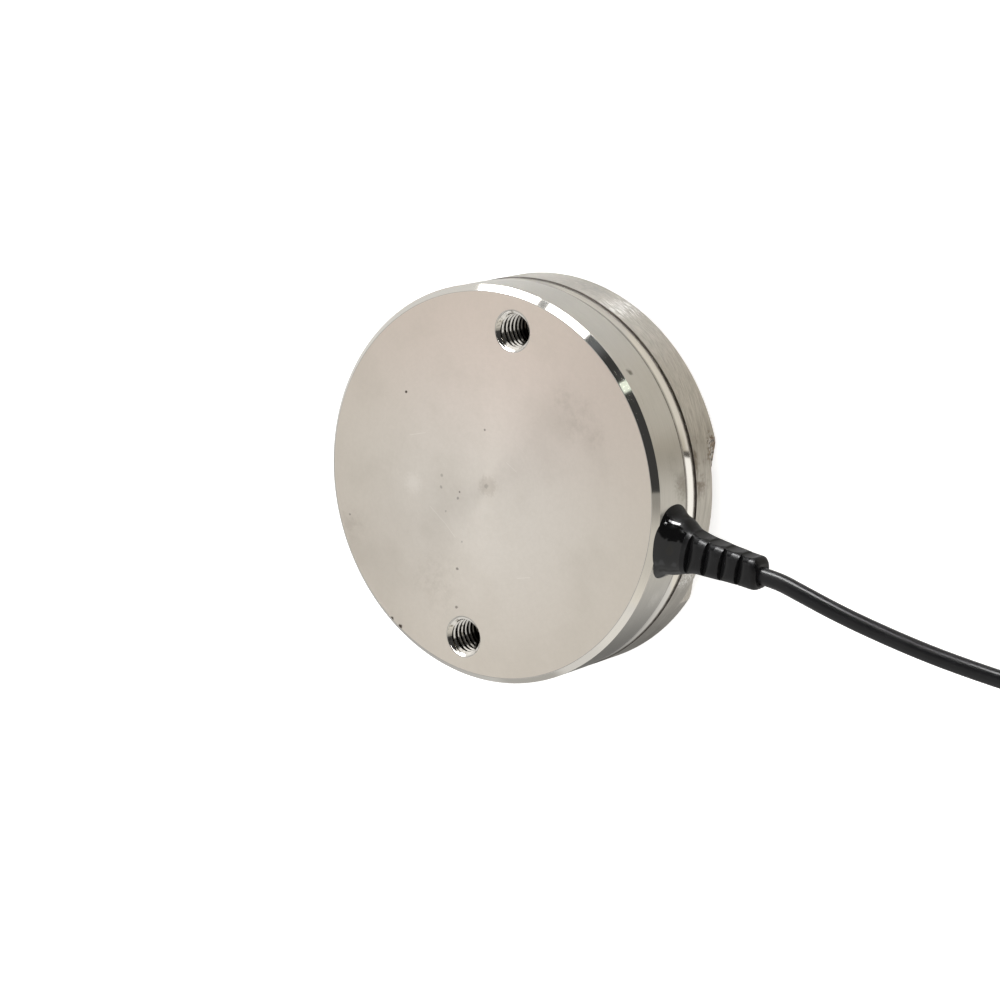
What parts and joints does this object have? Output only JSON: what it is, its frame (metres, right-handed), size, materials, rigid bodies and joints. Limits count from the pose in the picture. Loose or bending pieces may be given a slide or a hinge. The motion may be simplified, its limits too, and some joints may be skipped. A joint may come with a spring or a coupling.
{
  "type": "compression load cell",
  "caption": "Round steel disc load cell: flat mounting face with tapped holes, load button behind, moulded black boot and cable coiled for storage; measures compressive force.",
  "frame": {"origin": "centre of the load button's flat face, on the surface that the cell lies on", "axes": "+Z is the disc's axis, out of the mounting face with the tapped holes; +X is the way the cable leaves; the tapped holes lie along Y"},
  "size_m": [0.2176, 0.1112, 0.025],
  "materials": {
    "base_steel": "fine-turned stainless steel, satin face, polished chamfer and groove",
    "element_steel": "stainless steel brushed round the rim",
    "gauge_film": "amber polyimide film",
    "copper_wire": "enamelled copper",
    "board_laminate": "green board laminate",
    "pillar_brass": "turned brass",
    "screw_steel": "zinc-plated steel",
    "resistor_body": "matt lacquer",
    "red_insulation": "smooth insulation",
    "black_insulation": "smooth insulation",
    "green_insulation": "smooth insulation",
    "white_insulation": "smooth insulation",
    "ferrule_metal": "plated brass",
    "boot_rubber": "black moulded rubber, glossy flare, satin ribs",
    "cable_jacket": "black satin cable jacket",
    "strap": "woven black hook-and-loop strap",
    "shrink_sleeve": "black shrink sleeve"
  },
  "bodies": {
    "root": {"base_housing": "base_steel", "spring_element": "element_steel", "strain_gauge_1": "gauge_film", "strain_gauge_2": "gauge_film", "strain_gauge_3": "gauge_film", "strain_gauge_4": "gauge_film", "gauge_wires_1": "copper_wire", "gauge_wires_2": "copper_wire", "gauge_wires_3": "copper_wire", "gauge_wires_4": "copper_wire", "bridge_board": "board_laminate", "board_standoffs": "pillar_brass", "board_screws": "screw_steel", "zero_resistor": "resistor_body", "span_resistor": "resistor_body", "temperature_resistor": "resistor_body", "core_red": "red_insulation", "core_black": "black_insulation", "core_green": "green_insulation", "core_white": "white_insulation", "cable_entry": "cable_jacket", "cable_seal": "boot_rubber", "cable_ferrule": "ferrule_metal", "cable_boot": "boot_rubber", "cable": "cable_jacket", "cable_coil": "cable_jacket", "coil_tie": "strap", "cable_tail": "cable_jacket", "end_sleeve": "shrink_sleeve", "tail_red": "red_insulation", "tail_black": "black_insulation", "tail_green": "green_insulation", "tail_white": "white_insulation"}
  },
  "joints": []
}
